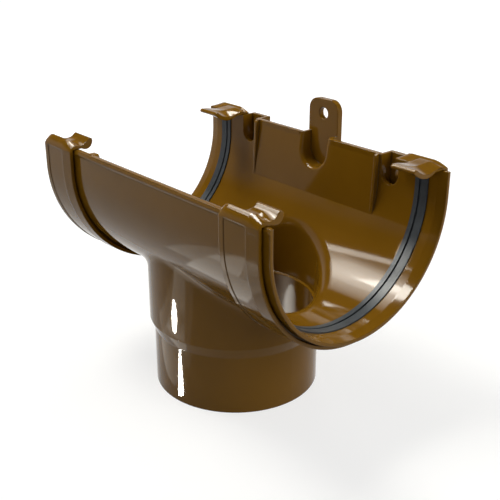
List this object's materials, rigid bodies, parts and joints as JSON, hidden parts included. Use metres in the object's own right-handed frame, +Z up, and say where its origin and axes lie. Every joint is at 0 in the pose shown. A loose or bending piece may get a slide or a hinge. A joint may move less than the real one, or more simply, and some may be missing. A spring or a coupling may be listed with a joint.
{
  "type": "gutter running outlet",
  "caption": "Half-round gutter running outlet in brown plastic: open trough with sealed, clipped ends over a round downpipe spigot, with a fixing tab at the back.",
  "frame": {"origin": "centre of the spigot's bottom rim", "axes": "+X along the gutter run, -Y to the street side, +Y to the fascia board, +Z up, against the flow"},
  "size_m": [0.202, 0.1434, 0.1623],
  "materials": {
    "outlet_plastic": "gloss",
    "clip_plastic": "gloss",
    "seal_rubber": "satin"
  },
  "bodies": {
    "root": {"outlet_body": "outlet_plastic", "strap_clip_left": "clip_plastic", "strap_clip_right": "clip_plastic", "seal_left": "seal_rubber", "seal_right": "seal_rubber"}
  },
  "joints": []
}
